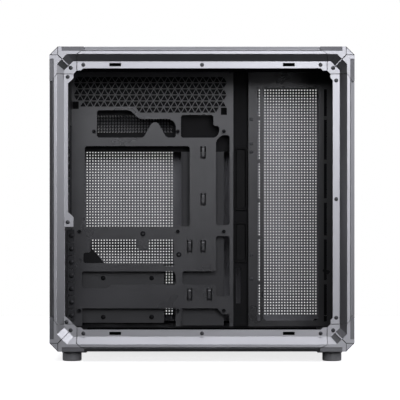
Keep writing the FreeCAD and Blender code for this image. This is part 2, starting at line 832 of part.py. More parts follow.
def control_strip():
    """Moulded strip with the power button's well and the ports, flanged under the top cover."""
    x = strip_x
    y = strip_y
    top = half - cover_recess
    under = top - cover_thickness - fit_gap
    body = box(x - strip_length / 2, x + strip_length / 2, y - strip_width / 2, y + strip_width / 2,
               top - strip_height, top)
    body = body.fuse(box(x - strip_length / 2 - strip_flange, x + strip_length / 2 + strip_flange,
                         y - strip_width / 2 - strip_flange, y + strip_width / 2 + strip_flange,
                         under - cover_thickness, under))
    well = button_height - button_proud + button_travel + button_gap
    body = body.cut(button_block(button_gap, top - well, top))
    for place, (length, width) in zip(port_places, port_sizes):
        body = body.cut(box(x + place - length / 2, x + place + length / 2, y - width / 2, y + width / 2,
                            top - port_depth, top))
    return body.removeSplitter()


def power_button():
    top = half - cover_recess + button_proud
    return button_block(0.0, top - button_height, top)


def foot(side_x, side_y):
    """Moulded foot with its fixing plate under the frame."""
    x = side_x * (half - foot_inset_x)
    y = side_y * (case_width / 2 - foot_inset_y)
    post = Part.makeCylinder(foot_radius, foot_height, V(x, y, -half - foot_height))
    inner = x - side_x * (foot_radius + foot_plate_inner)
    outer = x + side_x * foot_radius
    low_x, high_x = sorted((inner, outer))
    plate = box(low_x, high_x, y - foot_radius, y + foot_radius, -half - foot_plate, -half)
    return post.fuse(plate).removeSplitter()


os.makedirs("parts", exist_ok=True)

for name, piece in make_frame("left", True):
    save(name, piece)
for name, piece in make_frame("right", False):
    save(name, piece)
save("frame_screws", frame_screws())

clearance = catch_clearances()
ceiling = deck_sheet().cut(clearance)
save("ceiling_sheet", ceiling)
save("floor_sheet", flip_z(ceiling))
save("front_wall", upright_wall(1, (-screw_end, 0.0, screw_end)))
rear_tabs = [z for x, z in rear_screw_places]
save("rear_wall", upright_wall(-1, rear_tabs).cut(rear_openings()))
for number in range(slot_count):
    save("slot_cover_" + str(number + 1), slot_cover(number))

save("motherboard_tray", motherboard_tray())
save("standoffs", standoffs())
save("cable_channel", cable_channel())
save("upper_grommet", grommet(grommet_spans[0]))
save("lower_grommet", grommet(grommet_spans[1]))
save("side_fan_bracket", side_fan_bracket())
save("drive_bay_panel", drive_bay_panel())
save("supply_shelf", supply_shelf())
save("drive_bracket", drive_bracket())
save("cable_cover", cable_cover())

rail = cross_rail()
save("top_front_cross_rail", rail)
save("top_rear_cross_rail", flip_x(rail))
save("bottom_front_cross_rail", flip_z(rail))
save("bottom_rear_cross_rail", flip_x(flip_z(rail)))
save("top_cover", slotted_cover(half - cover_recess - cover_thickness, True))
save("front_cover", front_cover())
save("floor_filter", slotted_cover(-half + cover_recess, False))
save("control_strip", control_strip())
save("power_button", power_button())
save("right_side_panel", right_side_panel())
save("panel_catches", panel_catches())

save("feet", Part.makeCompound([foot(side_x, side_y) for side_x in (-1, 1) for side_y in (-1, 1)]))
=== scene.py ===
from math import cos, pi, radians, sin, sqrt

import bmesh
import bpy
from mathutils import Matrix, Vector


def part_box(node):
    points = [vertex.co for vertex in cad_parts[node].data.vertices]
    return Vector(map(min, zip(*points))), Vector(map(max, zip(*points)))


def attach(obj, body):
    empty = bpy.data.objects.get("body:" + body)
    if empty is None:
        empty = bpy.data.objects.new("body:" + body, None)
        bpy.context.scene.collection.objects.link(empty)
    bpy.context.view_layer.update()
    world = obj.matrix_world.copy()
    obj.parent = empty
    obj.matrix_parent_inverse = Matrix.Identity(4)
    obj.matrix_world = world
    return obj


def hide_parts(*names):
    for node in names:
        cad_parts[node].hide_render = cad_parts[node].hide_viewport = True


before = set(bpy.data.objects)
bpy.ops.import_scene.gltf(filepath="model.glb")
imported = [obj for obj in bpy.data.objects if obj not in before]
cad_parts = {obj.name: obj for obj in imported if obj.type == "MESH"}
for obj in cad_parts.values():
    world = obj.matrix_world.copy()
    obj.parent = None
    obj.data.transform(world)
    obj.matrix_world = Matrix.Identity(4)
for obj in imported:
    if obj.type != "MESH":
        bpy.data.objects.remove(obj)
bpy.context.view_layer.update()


# Chassis sheets: ceiling, floor, front and rear wall of folded 1.2 mm steel, clamped by the
# frames at their flanges. Black powder coat, baked on after folding, so it is finely pebbled
# and duller in some places than in others. The rear wall is a shade paler than the rest.
def add(tree, kind, *links, **settings):
    """Add a node, set its properties and give its inputs their values or links."""
    node = tree.nodes.new(kind)
    for label, value in settings.items():
        setattr(node, label, value)
    for source, label in links:
        if hasattr(source, "is_output"):
            tree.links.new(source, node.inputs[label])
        else:
            node.inputs[label].default_value = source
    return node


def value_group(name, inputs, outputs):
    """Empty shader group with float inputs (name, default) and named float outputs."""
    tree = bpy.data.node_groups.new(name, "ShaderNodeTree")
    for label, default in inputs:
        socket = tree.interface.new_socket(label, in_out="INPUT", socket_type="NodeSocketFloat")
        socket.default_value = default
    for label in outputs:
        tree.interface.new_socket(label, in_out="OUTPUT", socket_type="NodeSocketFloat")
    return tree, tree.nodes.new("NodeGroupInput"), tree.nodes.new("NodeGroupOutput")


def object_place(tree):
    """Object coordinates, so that the grain stays on the piece when it moves."""
    return tree.nodes.new("ShaderNodeTexCoord").outputs["Object"]


def noise(tree, place, scale, detail):
    """Noise value at a place; the scale is a number or a socket."""
    return add(tree, "ShaderNodeTexNoise", (place, "Vector"), (scale, "Scale"),
               (detail, "Detail")).outputs["Fac"]


def make_coat_grain():
    """Pebbled skin of a powder coat, with slow patches of duller finish."""
    tree, entry, leave = value_group("coat_grain", [("Pebble scale", 900.0)], ["Pebble", "Patch"])
    place = object_place(tree)
    pebble = noise(tree, place, scale=entry.outputs["Pebble scale"], detail=2.0)
    patch = noise(tree, place, scale=14.0, detail=3.0)
    tree.links.new(pebble, leave.inputs["Pebble"])
    tree.links.new(patch, leave.inputs["Patch"])
    return tree


def blank_material(name):
    """New material with its node tree and its Principled shader."""
    material = bpy.data.materials.new(name)
    material.use_nodes = True
    return material, material.node_tree, material.node_tree.nodes["Principled BSDF"]


def spread(tree, factor, low, high):
    """Map the usual span of a noise value onto a range."""
    noise_low, noise_high = 0.3, 0.7
    return add(tree, "ShaderNodeMapRange", (factor, "Value"), (noise_low, "From Min"),
               (noise_high, "From Max"), (low, "To Min"), (high, "To Max")).outputs["Result"]


def tint(tree, factor, first, second, target):
    """Mix two colours by a value and feed a colour socket."""
    factor_in, first_in, second_in, colour_out = 0, 6, 7, 2
    mix = add(tree, "ShaderNodeMix", (factor, factor_in), ((*first, 1.0), first_in),
              ((*second, 1.0), second_in), data_type="RGBA")
    tree.links.new(mix.outputs[colour_out], target)


def raise_grain(tree, shader, height, strength, distance):
    """Bump a shader's surface by a height value."""
    bump = add(tree, "ShaderNodeBump", (height, "Height"), (strength, "Strength"),
               (distance, "Distance"))
    tree.links.new(bump.outputs["Normal"], shader.inputs["Normal"])


coat_grain = make_coat_grain()


def coated_steel(name, dark, light, smooth, dull, gloss, metallic=0.0):
    """Powder coat between two tones and two roughnesses; metallic for a metal pigment."""
    pebble_scale, pebble_strength, pebble_height = 900.0, 0.25, 0.0003
    material, tree, shader = blank_material(name)
    grain = add(tree, "ShaderNodeGroup", (pebble_scale, "Pebble scale"), node_tree=coat_grain)
    patch = grain.outputs["Patch"]
    tint(tree, spread(tree, patch, 0.0, 1.0), dark, light, shader.inputs["Base Color"])
    tree.links.new(spread(tree, patch, smooth, dull), shader.inputs["Roughness"])
    shader.inputs["Specular IOR Level"].default_value = gloss
    shader.inputs["Metallic"].default_value = metallic
    raise_grain(tree, shader, grain.outputs["Pebble"], pebble_strength, pebble_height)
    return material


def dress(names, material):
    """Give the solids of some nodes a material."""
    for name in names:
        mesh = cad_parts[name].data
        mesh.materials.clear()
        mesh.materials.append(material)


deep_steel = coated_steel("deep_steel", dark=(0.009, 0.009, 0.01), light=(0.016, 0.016, 0.018),
                          smooth=0.42, dull=0.55, gloss=0.05)
rear_steel = coated_steel("rear_steel", dark=(0.02, 0.02, 0.022), light=(0.028, 0.028, 0.031),
                          smooth=0.34, dull=0.44, gloss=0.5)
dress(["ceiling_sheet", "floor_sheet", "front_wall"], deep_steel)
dress(["rear_wall"], rear_steel)


# Expansion slot covers: seven thin steel strips, stamped and folded, black like the walls and
# a shade paler. Each is held by one dark pan-head screw through the tab at its front end.
slot_covers = ["slot_cover_%d" % number for number in range(1, 8)]
strip_steel = coated_steel("strip_steel", dark=(0.032, 0.032, 0.035), light=(0.042, 0.042, 0.046),
                           smooth=0.4, dull=0.5, gloss=0.25)
dress(slot_covers, strip_steel)


def repeat_tree(name, inputs):
    """Geometry tree with a points input, named size inputs and a material input."""
    tree = bpy.data.node_groups.new(name, "GeometryNodeTree")
    tree.interface.new_socket("Places", in_out="INPUT", socket_type="NodeSocketGeometry")
    for label, kind, default in inputs:
        socket = tree.interface.new_socket(label, in_out="INPUT", socket_type="NodeSocket" + kind)
        socket.default_value = default
    tree.interface.new_socket("Finish", in_out="INPUT", socket_type="NodeSocketMaterial")
    tree.interface.new_socket("Pieces", in_out="OUTPUT", socket_type="NodeSocketGeometry")
    return tree, tree.nodes.new("NodeGroupInput"), tree.nodes.new("NodeGroupOutput")


def calculate(tree, operation, first, second):
    """Result of a Math node on two values or sockets."""
    return add(tree, "ShaderNodeMath", (first, 0), (second, 1), operation=operation).outputs[0]


def upward(tree, height):
    """Vector of a height along Z."""
    return add(tree, "ShaderNodeCombineXYZ", (height, "Z")).outputs[0]


def shift(tree, shape, offset):
    """Move a shape by a vector."""
    return add(tree, "GeometryNodeTransform", (shape, "Geometry"),
               (offset, "Translation")).outputs[0]


def finish_tree(tree, entry, leave, shape, with_places=True):
    """Set the shape on every place, turn it, realize it and give it its finish."""
    if with_places:
        shape = add(tree, "GeometryNodeInstanceOnPoints", (entry.outputs["Places"], "Points"),
                    (shape, "Instance"), (entry.outputs["Turn"], "Rotation")).outputs[0]
    real = add(tree, "GeometryNodeRealizeInstances", (shape, "Geometry")).outputs[0]
    done = add(tree, "GeometryNodeSetMaterial", (real, "Geometry"),
               (entry.outputs["Finish"], "Material"))
    tree.links.new(done.outputs[0], leave.inputs[0])


def grow(name, tree, places, edges, sizes, material):
    """Run a tree on points or edges and keep the result as a plain mesh object."""
    mesh = bpy.data.meshes.new(name)
    mesh.from_pydata(places, edges, [])
    carrier = bpy.data.objects.new(name + "_places", mesh)
    bpy.context.collection.objects.link(carrier)
    modifier = carrier.modifiers.new("repeat", "NODES")
    modifier.node_group = tree
    for socket in tree.interface.items_tree:
        if socket.in_out == "INPUT" and socket.name in sizes:
            modifier[socket.identifier] = sizes[socket.name]
        if socket.in_out == "INPUT" and socket.name == "Finish":
            modifier[socket.identifier] = material
    bpy.context.view_layer.update()
    grown = carrier.evaluated_get(bpy.context.evaluated_depsgraph_get())
    result = bpy.data.meshes.new_from_object(grown)
    bpy.data.objects.remove(carrier)
    piece = bpy.data.objects.new(name, result)
    bpy.context.collection.objects.link(piece)
    return piece


def screw_tree():
    """Pan head with a cross recess, standing on the XY plane."""
    tree, entry, leave = repeat_tree("pan_head_screws", [
        ("Head radius", "Float", 0.003), ("Head height", "Float", 0.0016),
        ("Recess length", "Float", 0.0034), ("Recess width", "Float", 0.0009),
        ("Recess depth", "Float", 0.0009), ("Turn", "Vector", (0.0, 0.0, 0.0))])
    size = entry.outputs
    dome_power, dome_fall = 3.0, -0.45
    half_height = calculate(tree, "MULTIPLY", size["Head height"], 0.5)
    barrel = add(tree, "GeometryNodeMeshCylinder", (24, "Vertices"), (1, "Side Segments"),
                 (5, "Fill Segments"), (size["Head radius"], "Radius"),
                 (size["Head height"], "Depth"))
    lifted = shift(tree, barrel.outputs["Mesh"], upward(tree, half_height))
    where = add(tree, "GeometryNodeInputPosition").outputs[0]
    flat = add(tree, "ShaderNodeVectorMath", (where, 0), ((1.0, 1.0, 0.0), 1),
               operation="MULTIPLY").outputs[0]
    reach = add(tree, "ShaderNodeVectorMath", (flat, 0), operation="LENGTH").outputs["Value"]
    share = calculate(tree, "DIVIDE", reach, size["Head radius"])
    fall = calculate(tree, "MULTIPLY", calculate(tree, "POWER", share, dome_power), dome_fall)
    drop = calculate(tree, "MULTIPLY", fall, size["Head height"])
    height = add(tree, "ShaderNodeSeparateXYZ", (where, 0)).outputs["Z"]
    upper = calculate(tree, "GREATER_THAN", height, half_height)
    domed = add(tree, "GeometryNodeSetPosition", (lifted, "Geometry"), (upper, "Selection"),
                (upward(tree, drop), "Offset")).outputs[0]
    cut = add(tree, "GeometryNodeMeshBoolean", (domed, "Mesh 1"), operation="DIFFERENCE")
    bar_height = calculate(tree, "MULTIPLY", size["Recess depth"], 2.0)
    for long_axis, short_axis in (("X", "Y"), ("Y", "X")):
        span = add(tree, "ShaderNodeCombineXYZ", (size["Recess length"], long_axis),
                   (size["Recess width"], short_axis), (bar_height, "Z"))
        bar = add(tree, "GeometryNodeMeshCube", (span.outputs[0], "Size")).outputs[0]
        bar = shift(tree, bar, upward(tree, size["Head height"]))
        tree.links.new(bar, cut.inputs["Mesh 2"])
    finish_tree(tree, entry, leave, cut.outputs[0])
    return tree


def plated_steel(name, colour, smooth, dull):
    """Plated steel of small fasteners, turned, with fine scratches."""
    scratch_shade = 0.8
    material, tree, shader = blank_material(name)
    scratch = noise(tree, object_place(tree), scale=1800.0, detail=3.0)
    scratched = [scratch_shade * channel for channel in colour]
    tint(tree, scratch, scratched, colour, shader.inputs["Base Color"])
    shader.inputs["Metallic"].default_value = 1.0
    tree.links.new(spread(tree, scratch, smooth, dull), shader.inputs["Roughness"])
    return material


pan_head_screws = screw_tree()
cover_screw_zinc = plated_steel("cover_screw_zinc", (0.055, 0.055, 0.058), smooth=0.4, dull=0.55)
facing_left = (radians(90), 0.0, 0.0)
tab_inset = 0.0045
cover_screw_places = []
for cover in slot_covers:
    low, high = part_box(cover)
    cover_screw_places.append((high[0] - tab_inset, low[1], (low[2] + high[2]) / 2))
cover_screws = grow("slot_cover_screws", pan_head_screws, cover_screw_places, [],
                    {"Turn": facing_left, "Head radius": 0.0034, "Head height": 0.0018},
                    cover_screw_zinc)
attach(cover_screws, "case")


# Motherboard tray: one folded sheet of steel with a punched triangle lattice along its top,
# cable cut-outs and a window behind the processor. Satin coat, a shade paler than the walls.
tray_steel = coated_steel("tray_steel", dark=(0.046, 0.046, 0.05), light=(0.058, 0.058, 0.063),
                          smooth=0.27, dull=0.32, gloss=1.0)
dress(["motherboard_tray"], tray_steel)


# Standoffs: nine hexagonal steel spacers on the board's hole grid, turned and plated dark.
# They are tapped for the board's screws and pressed into the tray.
def standoff_tree():
    """Hexagonal post with a blind bore, standing on the XY plane."""
    tree, entry, leave = repeat_tree("hex_standoffs", [
        ("Across corners", "Float", 0.00635), ("Height", "Float", 0.0065),
        ("Bore radius", "Float", 0.0016), ("Bore depth", "Float", 0.005),
        ("Turn", "Vector", (0.0, 0.0, 0.0))])
    size = entry.outputs
    radius = calculate(tree, "MULTIPLY", size["Across corners"], 0.5)
    half_height = calculate(tree, "MULTIPLY", size["Height"], 0.5)
    post = add(tree, "GeometryNodeMeshCylinder", (6, "Vertices"), (size["Height"], "Depth"),
               (radius, "Radius")).outputs["Mesh"]
    post = shift(tree, post, upward(tree, half_height))
    drill_length = calculate(tree, "MULTIPLY", size["Bore depth"], 2.0)
    bore = add(tree, "GeometryNodeMeshCylinder", (20, "Vertices"), (size["Bore radius"], "Radius"),
               (drill_length, "Depth")).outputs["Mesh"]
    bore = shift(tree, bore, upward(tree, size["Height"]))
    cut = add(tree, "GeometryNodeMeshBoolean", (post, "Mesh 1"), (bore, "Mesh 2"),
              operation="DIFFERENCE")
    finish_tree(tree, entry, leave, cut.outputs[0])
    return tree


tray_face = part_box("motherboard_tray")[0][1]
post_low, post_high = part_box("standoffs")
post_half_corners, post_half_flats = 0.003175, 0.00275
column_step, row_step, top_rear_shift = 0.15494, 0.15748, 0.02286
rear_column = post_low[0] + post_half_corners
middle_column = rear_column + column_step
front_column = post_high[0] - post_half_corners
top_row = post_high[2] - post_half_flats
middle_row = top_row - row_step
bottom_row = post_low[2] + post_half_flats
standoff_places = [(column, tray_face, top_row)
                   for column in (rear_column + top_rear_shift, middle_column, front_column)]
standoff_places += [(column, tray_face, row) for row in (middle_row, bottom_row)
                    for column in (rear_column, middle_column, front_column)]
post_black = plated_steel("post_black", (0.03, 0.03, 0.032), smooth=0.45, dull=0.6)
posts = grow("board_standoffs", standoff_tree(), standoff_places, [], {"Turn": facing_left},
             post_black)
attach(posts, "case")
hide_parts("standoffs")


# Tie-down bridges: six narrow straps lanced out of the tray between pairs of slots and
# pressed forward, so that a cable tie can pass behind them. Same sheet and coat as the tray.
def thicken(tree, face, depth):
    """Closed sheet of some depth on an open face."""
    weld_distance = 1e-6
    raised = add(tree, "GeometryNodeExtrudeMesh", (face, "Mesh"), (depth, "Offset Scale"),
                 (False, "Individual"))
    under = add(tree, "GeometryNodeFlipFaces", (face, "Mesh"))
    shell = add(tree, "GeometryNodeJoinGeometry", (raised.outputs["Mesh"], "Geometry"),
                (under.outputs[0], "Geometry"))
    return add(tree, "GeometryNodeMergeByDistance", (shell.outputs[0], "Geometry"),
               (weld_distance, "Distance")).outputs[0]


def bridge_tree():
    """Strap along Y, arched up between its two ends."""
    tree, entry, leave = repeat_tree("tie_down_bridges", [
        ("Strap width", "Float", 0.0039), ("Strap length", "Float", 0.017),
        ("Strap rise", "Float", 0.0013), ("Sheet", "Float", 0.001),
        ("Turn", "Vector", (0.0, 0.0, 0.0))])
    size = entry.outputs
    arch_power = 10.0
    strap = add(tree, "GeometryNodeMeshGrid", (size["Strap width"], "Size X"),
                (size["Strap length"], "Size Y"), (2, "Vertices X"), (21, "Vertices Y"))
    where = add(tree, "GeometryNodeInputPosition").outputs[0]
    along = add(tree, "ShaderNodeSeparateXYZ", (where, 0)).outputs["Y"]
    half_length = calculate(tree, "MULTIPLY", size["Strap length"], 0.5)
    share = calculate(tree, "DIVIDE", along, half_length)
    arch = calculate(tree, "SUBTRACT", 1.0, calculate(tree, "POWER", share, arch_power))
    rise = upward(tree, calculate(tree, "MULTIPLY", arch, size["Strap rise"]))
    bent = add(tree, "GeometryNodeSetPosition", (strap.outputs["Mesh"], "Geometry"),
               (rise, "Offset"))
    finish_tree(tree, entry, leave, thicken(tree, bent.outputs[0], size["Sheet"]))
    return tree


bridge_offsets = ((0.1947, -0.0332), (0.1947, -0.1072), (0.1736, -0.1811),
                  (0.1947, -0.1811), (0.1736, -0.2569), (0.2046, -0.2569))
bridge_places = [(rear_column + across, tray_face, top_row + up) for across, up in bridge_offsets]
bridges = grow("tie_down_bridges", bridge_tree(), bridge_places, [], {"Turn": facing_left},
               tray_steel)
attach(bridges, "case")


# Rivets: two round steel heads that hold the shelf's gusset and the cable cover to the tray.
# Their rims are plated dark, and the centres are coated with the tray.
rivet_offsets = ((0.0998, -0.1612), (0.1566, -0.194))
rivet_places = [(rear_column + across, tray_face, top_row + up) for across, up in rivet_offsets]
rim_size = {"Turn": facing_left, "Head radius": 0.0042, "Head height": 0.0009,
            "Recess depth": 0.0002}
centre_size = {"Turn": facing_left, "Head radius": 0.003, "Head height": 0.00105,
               "Recess depth": 0.00005}
for name, rivet_size, finish in (("tray_rivets", rim_size, post_black),
                                 ("tray_rivet_heads", centre_size, tray_steel)):
    rivets = grow(name, pan_head_screws, rivet_places, [], rivet_size, finish)
    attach(rivets, "case")


# Cable channel: a trough of folded steel between tray and fan bracket, coated black.
# Two moulded rubber grommets are pressed into its cable holes; the mould rounds their rims.
black_steel = coated_steel("black_steel", dark=(0.009, 0.009, 0.01), light=(0.016, 0.016, 0.018),
                           smooth=0.42, dull=0.55, gloss=0.15)
dress(["cable_channel"], black_steel)


def moulded(name, dark, light, smooth, dull, scale, depth, gloss=0.5):
    """Moulded rubber or plastic with the fine grain of its mould."""
    grain_strength = 0.3
    material, tree, shader = blank_material(name)
    place = object_place(tree)
    grain = noise(tree, place, scale=scale, detail=3.0)
    bloom = noise(tree, place, scale=25.0, detail=2.0)
    tint(tree, spread(tree, bloom, 0.0, 1.0), dark, light, shader.inputs["Base Color"])
    tree.links.new(spread(tree, grain, smooth, dull), shader.inputs["Roughness"])
    shader.inputs["Specular IOR Level"].default_value = gloss
    raise_grain(tree, shader, grain, grain_strength, depth)
    return material


def rounded_copy(node, radius, material, segments=2):
    """Copy of a solid, its triangles merged and its edges rounded; it stands for the node."""
    weld_distance, flat_angle, edge_angle = 1e-6, radians(1), radians(25)
    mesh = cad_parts[node].data.copy()
    work = bmesh.new()
    work.from_mesh(mesh)
    bmesh.ops.remove_doubles(work, verts=work.verts, dist=weld_distance)
    bmesh.ops.dissolve_limit(work, angle_limit=flat_angle, verts=work.verts, edges=work.edges)
    work.to_mesh(mesh)
    work.free()
    mesh.materials.clear()
    mesh.materials.append(material)
    mesh.shade_flat()
    piece = bpy.data.objects.new(node + "_finished", mesh)
    bpy.context.collection.objects.link(piece)
    edge = piece.modifiers.new("edge", "BEVEL")
    edge.width = radius
    edge.segments = segments
    edge.limit_method = "ANGLE"
    edge.angle_limit = edge_angle
    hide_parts(node)
    return piece


black_rubber = moulded("black_rubber", dark=(0.008, 0.008, 0.0085), light=(0.013, 0.013, 0.0135),
                       smooth=0.45, dull=0.6, scale=1400.0, depth=0.0002, gloss=0.2)
for node in ("upper_grommet", "lower_grommet"):
    rim = rounded_copy(node, radius=0.0011, material=black_rubber, segments=3)
    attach(rim, "case")


# Side fan bracket: flat steel plate with a tall window and slots for fan screws, coated black
# and smoother than the walls. Five dark pan-head screws hold it to the channel.
bracket_steel = coated_steel("bracket_steel", dark=(0.022, 0.022, 0.024),
                             light=(0.03, 0.03, 0.033), smooth=0.27, dull=0.33, gloss=0.8)
dress(["side_fan_bracket"], bracket_steel)
bracket_low, bracket_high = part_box("side_fan_bracket")
bracket_middle = (bracket_low[2] + bracket_high[2]) / 2
bracket_screw_inset = 0.0046
bracket_screw_levels = (0.1257, 0.0875, 0.0742, -0.0875, -0.1257)
bracket_screw_places = [(bracket_low[0] + bracket_screw_inset, bracket_low[1],
                         bracket_middle + level) for level in bracket_screw_levels]
black_zinc = plated_steel("black_zinc", (0.13, 0.13, 0.137), smooth=0.35, dull=0.5)
bracket_screws = grow("fan_bracket_screws", pan_head_screws, bracket_screw_places, [],
                      {"Turn": facing_left, "Head radius": 0.0026, "Head height": 0.0015},
                      black_zinc)
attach(bracket_screws, "case")


# Second chamber: supply shelf, drive bracket and cable cover, folded from thinner steel and
# hung on the back of the tray. Black coat, paler on bracket and cover. Four dark screws on the
# bracket are the mounts of a drive.
dress(["supply_shelf"], black_steel)
plate_steel = coated_steel("plate_steel", dark=(0.03, 0.03, 0.033), light=(0.04, 0.04, 0.044),
                           smooth=0.3, dull=0.36, gloss=0.8)
dress(["drive_bracket"], plate_steel)
cover_steel = coated_steel("cover_steel", dark=(0.07, 0.07, 0.074), light=(0.09, 0.09, 0.095),
                           smooth=0.45, dull=0.55, gloss=0.4)
dress(["cable_cover"], cover_steel)
plate_low, plate_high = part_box("drive_bracket")
plate_sheet = 0.0012
mount_inset, mount_drop = 0.0337, 0.0151
mount_columns, mount_rows = 0.0766, 0.0617
mount_places = [(plate_low[0] + mount_inset + across * mount_columns, plate_high[1] - plate_sheet,
                 plate_high[2] - mount_drop - down * mount_rows)
                for across in (0, 1) for down in (0, 1)]
mounts = grow("drive_mounts", pan_head_screws, mount_places, [],
              {"Turn": facing_left, "Head radius": 0.0036, "Head height": 0.002}, post_black)
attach(mounts, "case")


# Drive bay panel: a partition of folded steel behind the tray, coated black. It is punched with
# a field of small square holes, and its lower edge is turned in.
def perforated_tree():
    """Flat sheet filled inside its outline, with two fields of square holes, then thickened."""
    tree, entry, leave = repeat_tree("perforated_sheet", [
        ("Pitch", "Float", 0.00458), ("Hole", "Float", 0.0023), ("Sheet", "Float", 0.0012),
        ("Rows", "Int", 10),
        ("First columns", "Int", 10), ("First centre", "Vector", (0.0, 0.0, 0.0)),
        ("Second columns", "Int", 0), ("Second centre", "Vector", (0.0, 0.0, 0.0))])
    size = entry.outputs
    border = add(tree, "GeometryNodeMeshToCurve", (size["Places"], "Mesh"))
    square = add(tree, "GeometryNodeCurvePrimitiveQuadrilateral", (size["Hole"], "Width"),
                 (size["Hole"], "Height"))
    outlines = add(tree, "GeometryNodeJoinGeometry", (border.outputs[0], "Geometry"))
    row_gaps = calculate(tree, "SUBTRACT", size["Rows"], 1.0)
    height = calculate(tree, "MULTIPLY", row_gaps, size["Pitch"])
    for field in ("First", "Second"):
        columns = size[field + " columns"]
        column_gaps = calculate(tree, "SUBTRACT", columns, 1.0)
        width = calculate(tree, "MULTIPLY", column_gaps, size["Pitch"])
        grid = add(tree, "GeometryNodeMeshGrid", (width, "Size X"), (height, "Size Y"),
                   (columns, "Vertices X"), (size["Rows"], "Vertices Y"))
        points = shift(tree, grid.outputs["Mesh"], size[field + " centre"])
        holes = add(tree, "GeometryNodeInstanceOnPoints", (points, "Points"),
                    (square.outputs[0], "Instance"))
        real = add(tree, "GeometryNodeRealizeInstances", (holes.outputs[0], "Geometry"))
        tree.links.new(real.outputs[0], outlines.inputs[0])
    face = add(tree, "GeometryNodeFillCurve", (outlines.outputs[0], "Curve")).outputs[0]
    finish_tree(tree, entry, leave, thicken(tree, face, size["Sheet"]), with_places=False)
    return tree


def closed_edges(*loops):
    """Points and edges of one or more closed flat outlines."""
    places, edges = [], []
    for loop in loops:
        first = len(places)
        places += [(x, y, 0.0) for x, y in loop]
        edges += [(first + i, first + (i + 1) % len(loop)) for i in range(len(loop))]
    return places, edges


def box_loop(left, bottom, right, top):
    """Corners of a rectangle, in order."""
    return [(left, bottom), (right, bottom), (right, top), (left, top)]


def add_block(piece, low, high):
    """Join a plain closed block to a piece's mesh."""
    work = bmesh.new()
    work.from_mesh(piece.data)
    block = bmesh.ops.create_cube(work, size=1.0)["verts"]
    size = [b - a for a, b in zip(low, high)]
    centre = [(a + b) / 2 for a, b in zip(low, high)]
    bmesh.ops.scale(work, vec=size, verts=block)
    bmesh.ops.translate(work, vec=centre, verts=block)
    work.to_mesh(piece.data)
    work.free()


upright = Matrix.Rotation(radians(90), 4, "X")
sheet = 0.0012
perforated_sheet = perforated_tree()
bay_low, bay_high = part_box("drive_bay_panel")
bay_field_x, bay_field_rise = -0.1065, 0.044
bay_outline = closed_edges(box_loop(bay_low[0], bay_low[2], bay_high[0], bay_high[2]))
bay_panel = grow("drive_bay_panel_punched", perforated_sheet, *bay_outline,
                 {"Rows": 6, "First columns": 26, "Hole": 0.0031,
                  "First centre": (bay_field_x, bay_low[2] + bay_field_rise, 0.0)}, black_steel)
bay_panel.data.transform(Matrix.Translation((0, bay_low[1] + sheet, 0)) @ upright)
add_block(bay_panel, (bay_low[0], bay_low[1] + sheet, bay_low[2]),
          (bay_high[0], bay_high[1], bay_low[2] + sheet))
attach(bay_panel, "case")
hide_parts("drive_bay_panel")


# Right side panel: a steel pan with turned-in edges that snaps onto the right frame with
# plastic catches. Two fields of square holes let air through; the strip between them is plain.
# Its dark grey coat has a metal pigment.
def eight_sides(reach, near):
    """Outline of a square with its corners cut off."""
    return [(near, reach), (reach, near), (reach, -near), (near, -reach),
            (-near, -reach), (-reach, -near), (-reach, near), (-near, reach)]


def add_rim(piece, reach, near, wall, low_y, high_y, level):
    """Join the turned-in edge of a pan: a band that follows its eight sides."""
    outer = eight_sides(reach, near)
    inner = eight_sides(reach - wall, near - wall * (sqrt(2) - 1))
    work = bmesh.new()
    work.from_mesh(piece.data)
    rings = [[work.verts.new((x, y, level + z)) for x, z in loop]
             for loop, y in ((outer, low_y), (outer, high_y), (inner, high_y), (inner, low_y))]
    band = []
    for first, second in zip(rings, rings[1:] + rings[:1]):
        for i in range(len(outer)):
            j = (i + 1) % len(outer)
            band.append(work.faces.new((first[i], first[j], second[j], second[i])))
    bmesh.ops.recalc_face_normals(work, faces=band)
    work.to_mesh(piece.data)
    work.free()


panel_low, panel_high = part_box("right_side_panel")
panel_middle = (panel_low[2] + panel_high[2]) / 2
panel_reach, panel_corner = panel_high[0], 0.0135
panel_near = panel_reach - panel_corner
rear_field_x, front_field_x = -0.1169, 0.1342
panel_steel = coated_steel("panel_steel", dark=(0.14, 0.14, 0.148), light=(0.17, 0.17, 0.179),
                           smooth=0.34, dull=0.4, gloss=0.5, metallic=1.0)
panel_outline = closed_edges([(x, panel_middle + z)
                              for x, z in reversed(eight_sides(panel_reach, panel_near))])
side_panel = grow("right_panel_punched", perforated_sheet, *panel_outline,
                  {"Rows": 82, "Hole": 0.0016,
                   "First columns": 31, "First centre": (rear_field_x, panel_middle, 0.0),
                   "Second columns": 23, "Second centre": (front_field_x, panel_middle, 0.0)},
                  panel_steel)
side_panel.data.transform(Matrix.Translation((0, panel_high[1], 0)) @ upright)
add_rim(side_panel, panel_reach, panel_near, sheet, panel_low[1], panel_high[1] - sheet,
        panel_middle)
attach(side_panel, "right_panel")
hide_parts("right_side_panel")
catch_plastic = moulded("catch_plastic", dark=(0.02, 0.02, 0.021), light=(0.03, 0.03, 0.032),
                        smooth=0.4, dull=0.55, scale=900.0, depth=0.0002)
catches = rounded_copy("panel_catches", radius=0.0005, material=catch_plastic)
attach(catches, "right_panel")


